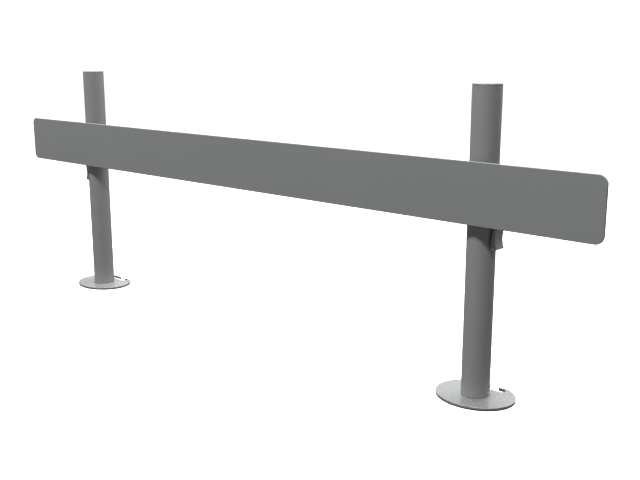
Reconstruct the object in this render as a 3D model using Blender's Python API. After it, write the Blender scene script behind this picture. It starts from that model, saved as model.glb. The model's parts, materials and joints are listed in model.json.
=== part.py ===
"""Desk rail on two height-adjustable posts, modelled as separate pieces.

Metres, +Z up. The origin lies on the desk plane, halfway between the two stands and
at the middle of their depth. +X runs along the rail, and the rail's plain face looks to -Y.
"""

import math

import bmesh
import bpy
from mathutils import Matrix, Vector

# ---------------------------------------------------------------- driving dimensions
FIT = 0.0003  # clearance between pieces that touch, or that slide on each other

PANEL_LENGTH = 1.200
PANEL_HEIGHT = 0.080
PANEL_THICKNESS = 0.004
PANEL_CORNER_RADIUS = 0.011
PANEL_EDGE_CHAMFER = 0.0006
PANEL_FRONT_FROM_POST = 0.0300  # from the posts' axes forward to the plain face
PANEL_MIDDLE_Z = 0.276

POST_SPACING = 0.850
POST_RADIUS = 0.019
POST_WALL = 0.002
POST_TOP_Z = 0.410
CAP_THICKNESS = 0.0025
CAP_EDGE_CHAMFER = 0.0008
CAP_STEM_LENGTH = 0.014
CAP_STEM_WALL = 0.0015

PAD_THICKNESS = 0.0010
PLATE_THICKNESS = 0.0030
PLATE_EDGE_CHAMFER = 0.0005
BASE_HALF_LENGTH = 0.055
BASE_HALF_DEPTH = 0.0465
BASE_BACK_Y = 0.040  # from the post axis, like the slot below
BASE_BACK_CORNER_RADIUS = 0.012
SLOT_NEAR_Y = 0.0262
SLOT_FAR_Y = 0.0378
SLOT_HALF_LENGTH = 0.0265
SLOT_ENTRY_START_X = 0.0
SLOT_ENTRY_END_X = 0.0125
SLOT_LIP_RADIUS = 0.0008

FOOT_PLUG_HEIGHT = 0.020
BASE_SCREWS = 3
BASE_SCREW_CIRCLE_RADIUS = 0.0105
BASE_SCREW_RADIUS = 0.0025
BASE_SCREW_HEAD_RADIUS = 0.0045
BASE_SCREW_HEAD_THICKNESS = 0.0013
BASE_SCREW_LENGTH = 0.014
BASE_SCREW_SOCKET_RADIUS = 0.0018
BASE_SCREW_SOCKET_DEPTH = 0.0007

CARRIAGE_HALF_HEIGHT = 0.028
CARRIAGE_WALL_RADIUS = 0.0252
BUSH_THICKNESS = 0.0016
BUSH_LENGTH = 0.010
BUSH_LIP_THICKNESS = 0.0014
BUSH_LIP_RADIUS = 0.0235
FLANGE_HALF_LENGTH = 0.047
FLANGE_THICKNESS = 0.0050
FLANGE_HALF_HEIGHT = 0.0265
FLANGE_CORNER_RADIUS = 0.008

LEVER_HALF_WIDTH = 0.0098
LEVER_TOP_Z = 0.2900
LEVER_TIP_Z = 0.2025  # the paddle's inner bottom corner
LEVER_LIP_Z = 0.2045  # its outer bottom corner, which flares away from the post
LEVER_NECK_Z = 0.2310  # where the thumb hollow ends
LEVER_NECK_LENGTH = 0.0150
LEVER_HOLLOW_X = 0.0255  # outer face at the bottom of the thumb hollow
LEVER_HOLLOW_Z = 0.2170
LEVER_FLARE_BELOW = 19.0  # flare per metre squared below the hollow's bottom
LEVER_FLARE_ABOVE = 10.0
LEVER_LIP_RADIUS = 0.0012
LEVER_INNER_RADIUS = 0.0220  # along the brake's arm
LEVER_WAIST_RADIUS = 0.0224  # the paddle's inner face where it is nearest the post
LEVER_WAIST_Z = 0.2110
LEVER_INNER_FLARE = 7.0  # per metre squared away from the waist
LEVER_EDGE_BEVEL = 0.0006
LEVER_SIDE_DEPTH = 0.0045  # how far the paddle's sides reach in round the post
LEVER_ARM_GAP = 0.0042  # from the upper arm to the bridge
LEVER_ARM_STEP = 0.0020
PIVOT_X = 0.0262
PIVOT_Z = 0.266
PIN_RADIUS = 0.0020
LEVER_BOSS_RADIUS = 0.0045
CHEEK_THICKNESS = 0.0036
CHEEK_OUTER_X = 0.0318
CHEEK_BOTTOM_Z = 0.2590
BRIDGE_INNER_X = 0.0296
BRIDGE_OUTER_X = 0.0342
BRIDGE_BOTTOM_Z = 0.2740
BRIDGE_TOP_Z = 0.2935
BRIDGE_CHAMFER = 0.0020
BRIDGE_SLOPE_DROP = 0.0010
CHEEK_TOE_DROP = 0.0060

SPRING_Z = 0.2830
SPRING_RADIUS = 0.0030
SPRING_WIRE_RADIUS = 0.0004
SPRING_TURNS = 4
SPRING_POCKET_DEPTH = 0.0030
SPRING_FREE_STROKE = 0.0011

SHOE_HALF_WIDTH = 0.0070
SHOE_HALF_HEIGHT = 0.0060
SHOE_MIDDLE_Z = 0.2820

STUD_OFFSET_X = 0.0385
STUD_RADIUS = 0.0025
STUD_LENGTH = 0.0120
STUD_HEAD_RADIUS = 0.0042
STUD_HEAD_THICKNESS = 0.0008
STUD_TIP_CHAMFER = 0.0006
WASHER_RADIUS = 0.0055
WASHER_THICKNESS = 0.0010
NUT_ACROSS_FLATS = 0.0080
NUT_THICKNESS = 0.0040
NUT_EDGE_BEVEL = 0.0003

ROUND_SEGMENTS = 64
SLOT_END_STEPS = 16
BASE_BACK_CORNER_TURNS = 2  # steps of the ellipse that each rounded back corner replaces
SMALL_SEGMENTS = 20
SHARP_ANGLE = math.radians(35)
CUT_MARGIN = 0.004  # how far a cutter runs past the wall that it cuts

# ---------------------------------------------------------------- derived dimensions
SIDES = {"left": -1, "right": 1}
POST_AXIS_Y = (BASE_HALF_DEPTH - BASE_BACK_Y) / 2.0
PANEL_BACK_Y = PANEL_THICKNESS - PANEL_FRONT_FROM_POST  # from the post axis
PLATE_BOTTOM_Z = PAD_THICKNESS + FIT
PLATE_TOP_Z = PLATE_BOTTOM_Z + PLATE_THICKNESS
TUBE_BOTTOM_Z = PLATE_TOP_Z + FIT
TUBE_TOP_Z = POST_TOP_Z - CAP_THICKNESS - FIT
TUBE_BORE_RADIUS = POST_RADIUS - POST_WALL
CARRIAGE_BOTTOM_Z = PANEL_MIDDLE_Z - CARRIAGE_HALF_HEIGHT
CARRIAGE_TOP_Z = PANEL_MIDDLE_Z + CARRIAGE_HALF_HEIGHT
BUSH_INNER_RADIUS = POST_RADIUS + FIT
BUSH_OUTER_RADIUS = BUSH_INNER_RADIUS + BUSH_THICKNESS
CARRIAGE_BORE_RADIUS = BUSH_OUTER_RADIUS + FIT
FLANGE_FRONT_Y = PANEL_BACK_Y + FIT
FLANGE_BACK_Y = FLANGE_FRONT_Y + FLANGE_THICKNESS
CHEEK_INNER_Y = LEVER_HALF_WIDTH + FIT
CHEEK_OUTER_Y = CHEEK_INNER_Y + CHEEK_THICKNESS
LEVER_ARM_OUTER_X = BRIDGE_INNER_X - LEVER_ARM_GAP


# ---------------------------------------------------------------- helpers
def clear_scene():
    for obj in list(bpy.data.objects):
        bpy.data.objects.remove(obj, do_unlink=True)


def make_material(name, colour, roughness, metallic):
    material = bpy.data.materials.new(name)
    material.use_nodes = True
    shader = material.node_tree.nodes["Principled BSDF"]
    shader.inputs["Base Color"].default_value = (*colour, 1.0)
    shader.inputs["Roughness"].default_value = roughness
    shader.inputs["Metallic"].default_value = metallic
    return material


def link_mesh(name, shape, material=None):
    """A new object from a bmesh, with its faces turned outward and its round faces smooth."""
    bmesh.ops.recalc_face_normals(shape, faces=shape.faces[:])
    mesh = bpy.data.meshes.new(name)
    shape.to_mesh(mesh)
    shape.free()
    mesh.shade_smooth()
    mesh.set_sharp_from_angle(angle=SHARP_ANGLE)
    obj = bpy.data.objects.new(name, mesh)
    bpy.context.scene.collection.objects.link(obj)
    if material:
        mesh.materials.append(material)
    return obj


def prism(name, outline, depth, material=None):
    """A closed solid: the outline in the XY plane, extruded up by depth."""
    shape = bmesh.new()
    corners = [shape.verts.new((x, y, 0.0)) for x, y in outline]
    face = shape.faces.new(corners)
    made = bmesh.ops.extrude_face_region(shape, geom=[face])
    raised = [part for part in made["geom"] if isinstance(part, bmesh.types.BMVert)]
    bmesh.ops.translate(shape, verts=raised, vec=(0.0, 0.0, depth))
    return link_mesh(name, shape, material)


def box(name, low, high, material=None):
    outline = [(low[0], low[1]), (high[0], low[1]), (high[0], high[1]), (low[0], high[1])]
    obj = prism(name, outline, high[2] - low[2], material)
    obj.location.z = low[2]
    return obj


def turned(name, profile, segments, material=None):
    """A closed solid of revolution round Z, from a profile of (radius, z) points."""
    shape = bmesh.new()
    rings = []
    for radius, z in profile:
        if radius == 0.0:
            rings.append([shape.verts.new((0.0, 0.0, z))])
            continue
        ring = []
        for step in range(segments):
            turn = 2.0 * math.pi * step / segments
            ring.append(shape.verts.new((radius * math.cos(turn), radius * math.sin(turn), z)))
        rings.append(ring)
    on_axis = len(rings[0]) == 1
    pairs = list(zip(rings, rings[1:])) if on_axis else list(zip(rings, rings[1:] + rings[:1]))
    for first, second in pairs:
        for step in range(segments):
            after = (step + 1) % segments
            corners = [first[step % len(first)], second[step % len(second)]]
            corners += [second[after % len(second)], first[after % len(first)]]
            shape.faces.new(list(dict.fromkeys(corners)))
    return link_mesh(name, shape, material)


def cylinder(name, radius, depth, segments=SMALL_SEGMENTS, material=None):
    return turned(name, [(0.0, 0.0), (radius, 0.0), (radius, depth), (0.0, depth)], segments, material)


def ring_solid(name, inner, outer, depth, segments=ROUND_SEGMENTS, material=None):
    profile = [(inner, 0.0), (outer, 0.0), (outer, depth), (inner, depth)]
    return turned(name, profile, segments, material)


def rounded_rectangle(half_x, half_y, radius, steps=8):
    """Outline points of a rectangle about the origin with round corners."""
    points = []
    for quarter, (sign_x, sign_y) in enumerate(((1, 1), (-1, 1), (-1, -1), (1, -1))):
        for step in range(steps + 1):
            turn = math.pi / 2.0 * (quarter + step / steps)
            x = sign_x * (half_x - radius) + radius * math.cos(turn)
            y = sign_y * (half_y - radius) + radius * math.sin(turn)
            point = Vector((x, y))
            if not points or (point - points[-1]).length > FIT / 10.0:
                points.append(point)
    return points


def filleted(corners, steps=5):
    """Outline points of a polygon of (x, y, radius) corners, with an arc at each radius."""
    points = []
    for index, (x, y, radius) in enumerate(corners):
        corner = Vector((x, y))
        if radius == 0.0:
            points.append(corner)
            continue
        before = (Vector(corners[index - 1][:2]) - corner).normalized()
        after = (Vector(corners[(index + 1) % len(corners)][:2]) - corner).normalized()
        half_angle = before.angle(after) / 2.0
        centre = corner + (before + after).normalized() * radius / math.sin(half_angle)
        start = corner + before * radius / math.tan(half_angle) - centre
        end = corner + after * radius / math.tan(half_angle) - centre
        turn = start.angle_signed(end)
        for step in range(steps + 1):
            points.append(centre + Matrix.Rotation(-turn * step / steps, 2) @ start)
    return points


def add_bevel(obj, width, segments=2):
    bevel = obj.modifiers.new("edge", "BEVEL")
    bevel.width = width
    bevel.segments = segments
    bevel.limit_method = "ANGLE"
    bevel.angle_limit = math.radians(60)


def combine(obj, other, operation):
    """A Boolean with a helper that is kept out of the render."""
    modifier = obj.modifiers.new(operation.lower(), "BOOLEAN")
    modifier.operation = operation
    modifier.solver = "EXACT"
    modifier.object = other
    other.hide_render = True
    other.display_type = "WIRE"


def lay_along_y(obj, y_start):
    """Turns a piece that was made along Z to run from y_start toward +Y."""
    obj.data.transform(Matrix.Rotation(-math.pi / 2.0, 4, "X"))
    obj.location.y = y_start


def place(obj, parent, location):
    obj.parent = parent
    obj.location = location


# ---------------------------------------------------------------- materials
def panel_paint():
    return make_material("panel_silver_grey_coat", (0.270, 0.279, 0.272), 0.55, 0.0)


def post_paint():
    return make_material("post_silver_grey_coat", (0.285, 0.294, 0.288), 0.48, 0.0)


def plate_paint():
    return make_material("plate_silver_grey_coat", (0.330, 0.338, 0.334), 0.50, 0.0)


def pad_rubber():
    return make_material("black_rubber", (0.020, 0.020, 0.021), 0.90, 0.0)


def casting_paint():
    return make_material("casting_dark_grey_coat", (0.060, 0.062, 0.062), 0.55, 0.0)


def lever_plastic():
    return make_material("lever_grey_nylon", (0.240, 0.247, 0.242), 0.50, 0.0)


def acetal():
    return make_material("black_acetal", (0.018, 0.018, 0.019), 0.40, 0.0)


def urethane():
    return make_material("brake_urethane", (0.055, 0.050, 0.046), 0.75, 0.0)


def zinc_steel():
    return make_material("zinc_plated_steel", (0.60, 0.60, 0.58), 0.35, 1.0)


# ---------------------------------------------------------------- sub-parts
def make_panel(material):
    outline = rounded_rectangle(PANEL_LENGTH / 2.0, PANEL_HEIGHT / 2.0, PANEL_CORNER_RADIUS, 12)
    panel = prism("panel", outline, PANEL_THICKNESS, material)
    panel.data.transform(Matrix.Rotation(math.pi / 2.0, 4, "X"))
    panel.location = (0.0, POST_AXIS_Y + PANEL_BACK_Y, PANEL_MIDDLE_Z)
    add_bevel(panel, PANEL_EDGE_CHAMFER)
    return panel


def base_outline(steps=80):
    """An ellipse whose back is cut flat, with a cable slot that opens through the back."""
    flat_start = math.asin(BASE_BACK_Y / BASE_HALF_DEPTH)
    corner_x = BASE_HALF_LENGTH * math.cos(flat_start)
    corners = [(SLOT_ENTRY_START_X, BASE_BACK_Y, SLOT_LIP_RADIUS)]
    corners += [(-corner_x, BASE_BACK_Y, BASE_BACK_CORNER_RADIUS)]
    sweep = math.pi + 2.0 * flat_start
    trim = BASE_BACK_CORNER_TURNS
    for step in range(trim, steps - trim + 1):
        turn = math.pi - flat_start + sweep * step / steps
        corners.append((BASE_HALF_LENGTH * math.cos(turn), BASE_HALF_DEPTH * math.sin(turn), 0.0))
    corners += [(corner_x, BASE_BACK_Y, BASE_BACK_CORNER_RADIUS)]
    corners += [(SLOT_ENTRY_END_X, BASE_BACK_Y, SLOT_LIP_RADIUS)]
    corners += [(SLOT_ENTRY_END_X, SLOT_FAR_Y, SLOT_LIP_RADIUS)]
    end_radius = (SLOT_FAR_Y - SLOT_NEAR_Y) / 2.0
    end_x = SLOT_HALF_LENGTH - end_radius
    middle = (SLOT_FAR_Y + SLOT_NEAR_Y) / 2.0
    for side, first_turn in ((1, math.pi / 2.0), (-1, -math.pi / 2.0)):
        for step in range(SLOT_END_STEPS + 1):
            turn = first_turn - math.pi * step / SLOT_END_STEPS
            x = side * end_x + end_radius * math.cos(turn)
            corners.append((x, middle + end_radius * math.sin(turn), 0.0))
    corners += [(SLOT_ENTRY_START_X, SLOT_FAR_Y, SLOT_LIP_RADIUS)]
    return filleted(corners)


def base_screw_places():
    for number in range(BASE_SCREWS):
        turn = 2.0 * math.pi * number / BASE_SCREWS - math.pi / 2.0
        x = BASE_SCREW_CIRCLE_RADIUS * math.cos(turn)
        y = BASE_SCREW_CIRCLE_RADIUS * math.sin(turn)
        yield number + 1, x, y


def make_base_pad(side, parent, material):
    pad = prism("base_pad_" + side, base_outline(), PAD_THICKNESS, material)
    place(pad, parent, (0.0, 0.0, 0.0))
    opening = cylinder(pad.name + "_opening_cutter", POST_RADIUS, PAD_THICKNESS + 2.0 * CUT_MARGIN)
    combine(pad, opening, "DIFFERENCE")
    place(opening, pad, (0.0, 0.0, -CUT_MARGIN))


def make_base_plate(side, parent, material):
    plate = prism("base_plate_" + side, base_outline(), PLATE_THICKNESS, material)
    place(plate, parent, (0.0, 0.0, PLATE_BOTTOM_Z))
    add_bevel(plate, PLATE_EDGE_CHAMFER, 1)
    head_room = BASE_SCREW_HEAD_THICKNESS + FIT
    for number, x, y in base_screw_places():
        name = f"{plate.name}_screw_cutter_{number}"
        head = BASE_SCREW_HEAD_RADIUS + FIT
        shank = BASE_SCREW_RADIUS + FIT
        past = PLATE_THICKNESS + CUT_MARGIN
        profile = [(0.0, -CUT_MARGIN), (head, -CUT_MARGIN), (head, head_room)]
        profile += [(shank, head_room), (shank, past), (0.0, past)]
        cutter = turned(name, profile, SMALL_SEGMENTS)
        combine(plate, cutter, "DIFFERENCE")
        place(cutter, plate, (x, y, 0.0))


def make_base_screws(side, parent, material):
    """Low-head screws that hold the plate to the foot plug from below."""
    for number, x, y in base_screw_places():
        socket = BASE_SCREW_SOCKET_RADIUS
        depth = BASE_SCREW_SOCKET_DEPTH
        profile = [(0.0, depth), (socket, depth), (socket, 0.0), (BASE_SCREW_HEAD_RADIUS, 0.0)]
        profile += [(BASE_SCREW_HEAD_RADIUS, BASE_SCREW_HEAD_THICKNESS)]
        profile += [(BASE_SCREW_RADIUS, BASE_SCREW_HEAD_THICKNESS)]
        profile += [(BASE_SCREW_RADIUS, BASE_SCREW_LENGTH - BASE_SCREW_RADIUS / 2.0)]
        profile += [(BASE_SCREW_RADIUS / 2.0, BASE_SCREW_LENGTH), (0.0, BASE_SCREW_LENGTH)]
        screw = turned(f"base_screw_{number}_{side}", profile, SMALL_SEGMENTS, material)
        place(screw, parent, (x, y, PLATE_BOTTOM_Z))


def make_foot_plug(side, parent, material):
    """The solid plug in the foot of the tube, threaded for the base screws."""
    radius = TUBE_BORE_RADIUS - FIT
    plug = cylinder("foot_plug_" + side, radius, FOOT_PLUG_HEIGHT, ROUND_SEGMENTS, material)
    place(plug, parent, (0.0, 0.0, TUBE_BOTTOM_Z))
    for number, x, y in base_screw_places():
        name = f"{plug.name}_thread_cutter_{number}"
        reach = BASE_SCREW_LENGTH + CUT_MARGIN
        cutter = cylinder(name, BASE_SCREW_RADIUS + FIT, reach)
        combine(plug, cutter, "DIFFERENCE")
        place(cutter, plug, (x, y, -CUT_MARGIN))


def make_post_tube(side, parent, material):
    length = TUBE_TOP_Z - TUBE_BOTTOM_Z
    tube = ring_solid("post_tube_" + side, TUBE_BORE_RADIUS, POST_RADIUS, length, material=material)
    place(tube, parent, (0.0, 0.0, TUBE_BOTTOM_Z))


def make_post_cap(side, parent, material):
    stem = TUBE_BORE_RADIUS - FIT
    cup = stem - CAP_STEM_WALL
    top = CAP_THICKNESS
    profile = [(0.0, 0.0), (cup, 0.0), (cup, -CAP_STEM_LENGTH), (stem, -CAP_STEM_LENGTH)]
    profile += [(stem, 0.0), (POST_RADIUS, 0.0), (POST_RADIUS, top - CAP_EDGE_CHAMFER)]
    profile += [(POST_RADIUS - CAP_EDGE_CHAMFER, top), (0.0, top)]
    cap = turned("post_cap_" + side, profile, ROUND_SEGMENTS, material)
    place(cap, parent, (0.0, 0.0, POST_TOP_Z - CAP_THICKNESS))


def make_carriage(side, sign, parent, material):
    """The casting that runs on the post: a ring, a flange for the panel and a lever housing."""
    height = 2.0 * CARRIAGE_HALF_HEIGHT
    body = cylinder("carriage_" + side, CARRIAGE_WALL_RADIUS, height, ROUND_SEGMENTS, material)
    place(body, parent, (0.0, 0.0, CARRIAGE_BOTTOM_Z))

    outline = rounded_rectangle(FLANGE_HALF_LENGTH, FLANGE_HALF_HEIGHT, FLANGE_CORNER_RADIUS)
    flange = prism(body.name + "_flange", outline, FLANGE_THICKNESS)
    flange.data.transform(Matrix.Rotation(math.pi / 2.0, 4, "X"))
    combine(body, flange, "UNION")
    place(flange, body, (0.0, FLANGE_BACK_Y, CARRIAGE_HALF_HEIGHT))

    cheek_low = CHEEK_BOTTOM_Z - CARRIAGE_BOTTOM_Z
    bridge_low = BRIDGE_BOTTOM_Z - CARRIAGE_BOTTOM_Z
    bridge_high = BRIDGE_TOP_Z - CARRIAGE_BOTTOM_Z
    wall = CARRIAGE_BORE_RADIUS
    chamfer = BRIDGE_CHAMFER
    profile = [(wall, cheek_low - CHEEK_TOE_DROP), (CHEEK_OUTER_X, cheek_low)]
    profile += [(CHEEK_OUTER_X, bridge_low - BRIDGE_SLOPE_DROP), (BRIDGE_OUTER_X, bridge_low + chamfer)]
    profile += [(BRIDGE_OUTER_X, bridge_high - chamfer), (BRIDGE_OUTER_X - chamfer, bridge_high)]
    profile += [(wall, bridge_high)]
    housing = prism(body.name + "_housing", [(sign * x, z) for x, z in profile], 2.0 * CHEEK_OUTER_Y)
    housing.data.transform(Matrix.Rotation(math.pi / 2.0, 4, "X"))
    combine(body, housing, "UNION")
    place(housing, body, (0.0, CHEEK_OUTER_Y, 0.0))

    # The lever's well is open below and to the outside, and closed by the bridge above.
    inner = CARRIAGE_BORE_RADIUS - CUT_MARGIN
    outer = CHEEK_OUTER_X + CUT_MARGIN
    well_top = LEVER_TOP_Z + 2.0 * FIT - CARRIAGE_BOTTOM_Z
    well = [(inner, -CUT_MARGIN), (outer, -CUT_MARGIN), (outer, bridge_low)]
    well += [(BRIDGE_INNER_X, bridge_low), (BRIDGE_INNER_X, well_top), (inner, well_top)]
    cutter = prism(body.name + "_well_cutter", [(sign * x, z) for x, z in well], 2.0 * CHEEK_INNER_Y)
    cutter.data.transform(Matrix.Rotation(math.pi / 2.0, 4, "X"))
    combine(body, cutter, "DIFFERENCE")
    place(cutter, body, (0.0, CHEEK_INNER_Y, 0.0))

    reach = 2.0 * (CHEEK_OUTER_Y + CUT_MARGIN)
    pin_hole = cylinder(body.name + "_pin_cutter", PIN_RADIUS + FIT, reach)
    lay_along_y(pin_hole, 0.0)
    combine(body, pin_hole, "DIFFERENCE")
    place(pin_hole, body, (sign * PIVOT_X, -CHEEK_OUTER_Y - CUT_MARGIN, PIVOT_Z - CARRIAGE_BOTTOM_Z))

    reach = SPRING_POCKET_DEPTH + CUT_MARGIN
    pocket = cylinder(body.name + "_pocket_cutter", SPRING_RADIUS + 2.0 * FIT, reach)
    pocket.data.transform(Matrix.Rotation(sign * math.pi / 2.0, 4, "Y"))
    combine(body, pocket, "DIFFERENCE")
    start = sign * (BRIDGE_INNER_X - CUT_MARGIN)
    place(pocket, body, (start, 0.0, SPRING_Z - CARRIAGE_BOTTOM_Z))

    for number, x in stud_places():
        head = STUD_HEAD_RADIUS + FIT
        depth = STUD_HEAD_THICKNESS + FIT
        shank = STUD_RADIUS + FIT
        past = FLANGE_THICKNESS + CUT_MARGIN
        profile = [(0.0, -CUT_MARGIN), (head, -CUT_MARGIN), (head, depth)]
        profile += [(shank, depth), (shank, past), (0.0, past)]
        hole = turned(f"{body.name}_stud_cutter_{number}", profile, SMALL_SEGMENTS)
        lay_along_y(hole, 0.0)
        combine(body, hole, "DIFFERENCE")
        place(hole, body, (x, FLANGE_FRONT_Y, CARRIAGE_HALF_HEIGHT))

    reach = height + 2.0 * CUT_MARGIN
    bore = cylinder(body.name + "_bore_cutter", CARRIAGE_BORE_RADIUS, reach, ROUND_SEGMENTS)
    combine(body, bore, "DIFFERENCE")
    place(bore, body, (0.0, 0.0, -CUT_MARGIN))


def make_bushes(side, sign, parent, material):
    """Flanged plain bushes that line the carriage's bore at its two ends."""
    inner = BUSH_INNER_RADIUS
    outer = BUSH_OUTER_RADIUS
    lip = BUSH_LIP_RADIUS
    lip_depth = BUSH_LIP_THICKNESS
    profile = [(inner, -lip_depth), (lip, -lip_depth), (lip, 0.0), (outer, 0.0)]
    profile += [(outer, BUSH_LENGTH), (inner, BUSH_LENGTH)]
    lower = turned("bush_lower_" + side, profile, ROUND_SEGMENTS, material)
    place(lower, parent, (0.0, 0.0, CARRIAGE_BOTTOM_Z - FIT))
    # The lower lip is cut away where the lever passes it.
    edges = sorted((sign * (inner - CUT_MARGIN), sign * (lip + CUT_MARGIN)))
    half = CHEEK_INNER_Y + FIT
    low = (edges[0], -half, -lip_depth - CUT_MARGIN)
    gap = box(lower.name + "_lever_cutter", low, (edges[1], half, FIT))
    combine(lower, gap, "DIFFERENCE")
    gap.parent = lower
    upside_down = [(radius, -z) for radius, z in reversed(profile)]
    upper = turned("bush_upper_" + side, upside_down, ROUND_SEGMENTS, material)
    place(upper, parent, (0.0, 0.0, CARRIAGE_TOP_Z + FIT))


def lever_face_x(z):
    """Outer face of the lever's paddle: hollowed for the thumb, and flared at its lip."""
    rise = z - LEVER_HOLLOW_Z
    flare = LEVER_FLARE_ABOVE if rise > 0.0 else LEVER_FLARE_BELOW
    return LEVER_HOLLOW_X + flare * rise * rise


def lever_inner_radius(z):
    """The paddle's inner face, which curves away from the post above and below its waist."""
    rise = z - LEVER_WAIST_Z
    return LEVER_WAIST_RADIUS + LEVER_INNER_FLARE * rise * rise


def make_lever(side, sign, parent, material):
    """The thumb lever: a paddle below its pin, and a short arm above it for the brake shoe."""
    stock = LEVER_INNER_RADIUS - LEVER_SIDE_DEPTH
    steps = 14
    corners = [(stock, LEVER_TIP_Z, 0.0), (lever_face_x(LEVER_LIP_Z), LEVER_LIP_Z, LEVER_LIP_RADIUS)]
    for step in range(2, steps + 1):
        z = LEVER_LIP_Z + (LEVER_NECK_Z - LEVER_LIP_Z) * step / steps
        corners.append((lever_face_x(z), z, 0.0))
    for step in range(6):
        turn = math.radians(-10 + 20 * step)
        x = PIVOT_X + LEVER_BOSS_RADIUS * math.cos(turn)
        corners.append((x, PIVOT_Z + LEVER_BOSS_RADIUS * math.sin(turn), 0.0))
    corners += [(LEVER_ARM_OUTER_X, PIVOT_Z + LEVER_BOSS_RADIUS + LEVER_ARM_STEP, 0.0)]
    corners += [(LEVER_ARM_OUTER_X, LEVER_TOP_Z, 0.0), (stock, LEVER_TOP_Z, 0.0)]
    profile = filleted(corners)
    outline = [(sign * (x - PIVOT_X), z - PIVOT_Z) for x, z in profile]
    lever = prism("thumb_lever_" + side, outline, 2.0 * LEVER_HALF_WIDTH, material)
    lever.data.transform(Matrix.Rotation(math.pi / 2.0, 4, "X"))
    lever.data.transform(Matrix.Translation((0.0, LEVER_HALF_WIDTH, 0.0)))
    place(lever, parent, (sign * PIVOT_X, 0.0, PIVOT_Z))

    # The inner face goes round the post: curved along the paddle, and straight along the arm.
    low = LEVER_TIP_Z - CUT_MARGIN
    high = LEVER_TOP_Z + CUT_MARGIN
    wall = [(0.0, low - PIVOT_Z)]
    for step in range(steps + 1):
        z = low + (LEVER_NECK_Z - low) * step / steps
        wall.append((lever_inner_radius(z), z - PIVOT_Z))
    straight_z = LEVER_NECK_Z + LEVER_NECK_LENGTH - PIVOT_Z
    wall += [(LEVER_INNER_RADIUS, straight_z), (LEVER_INNER_RADIUS, high - PIVOT_Z)]
    wall += [(0.0, high - PIVOT_Z)]
    clear = turned(lever.name + "_post_cutter", wall, ROUND_SEGMENTS)
    combine(lever, clear, "DIFFERENCE")
    place(clear, lever, (-sign * PIVOT_X, 0.0, 0.0))
    add_bevel(lever, LEVER_EDGE_BEVEL)

    across = 2.0 * (LEVER_HALF_WIDTH + CUT_MARGIN)
    hole = cylinder(lever.name + "_pin_cutter", PIN_RADIUS + FIT, across)
    lay_along_y(hole, 0.0)
    combine(lever, hole, "DIFFERENCE")
    place(hole, lever, (0.0, -LEVER_HALF_WIDTH - CUT_MARGIN, 0.0))


def make_lever_pin(side, sign, parent, material):
    length = 2.0 * CHEEK_OUTER_Y
    tip = PIN_RADIUS * 0.8
    chamfer = PIN_RADIUS - tip
    profile = [(0.0, 0.0), (tip, 0.0), (PIN_RADIUS, chamfer)]
    profile += [(PIN_RADIUS, length - chamfer), (tip, length), (0.0, length)]
    pin = turned("lever_pin_" + side, profile, SMALL_SEGMENTS, material)
    lay_along_y(pin, 0.0)
    place(pin, parent, (sign * PIVOT_X, -CHEEK_OUTER_Y, PIVOT_Z))


def make_brake_shoe(side, sign, parent, material):
    """The friction block on the lever's upper arm, hollowed to the post."""
    inner = POST_RADIUS + FIT
    outer = LEVER_INNER_RADIUS - FIT
    steps = 12
    spread = math.asin(SHOE_HALF_WIDTH / outer)
    outline = []
    for radius, order in ((inner, range(steps + 1)), (outer, range(steps, -1, -1))):
        for step in order:
            turn = spread * (2.0 * step / steps - 1.0)
            x = sign * (radius * math.cos(turn) - PIVOT_X)
            outline.append((x, radius * math.sin(turn)))
    shoe = prism("brake_shoe_" + side, outline, 2.0 * SHOE_HALF_HEIGHT, material)
    place(shoe, parent, (sign * PIVOT_X, 0.0, SHOE_MIDDLE_Z - SHOE_HALF_HEIGHT))


def make_lever_spring(side, sign, parent, material):
    """A compression spring between the lever's arm and the pocket in the bridge."""
    start = LEVER_ARM_OUTER_X + FIT + SPRING_WIRE_RADIUS
    end = BRIDGE_INNER_X + SPRING_POCKET_DEPTH - SPRING_FREE_STROKE - SPRING_WIRE_RADIUS
    steps = 12 * SPRING_TURNS
    centre_radius = SPRING_RADIUS - SPRING_WIRE_RADIUS
    curve = bpy.data.curves.new("lever_spring_" + side, "CURVE")
    curve.dimensions = "3D"
    curve.bevel_depth = SPRING_WIRE_RADIUS
    curve.bevel_resolution = 1
    curve.use_fill_caps = True
    wire = curve.splines.new("POLY")
    wire.points.add(steps)
    for step, point in enumerate(wire.points):
        turn = 2.0 * math.pi * SPRING_TURNS * step / steps
        x = sign * (start + (end - start) * step / steps - PIVOT_X)
        point.co = (x, centre_radius * math.cos(turn), centre_radius * math.sin(turn), 1.0)
    spring = bpy.data.objects.new(curve.name, curve)
    bpy.context.scene.collection.objects.link(spring)
    curve.materials.append(material)
    place(spring, parent, (sign * PIVOT_X, 0.0, SPRING_Z))


def stud_places():
    yield 1, -STUD_OFFSET_X
    yield 2, STUD_OFFSET_X


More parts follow.
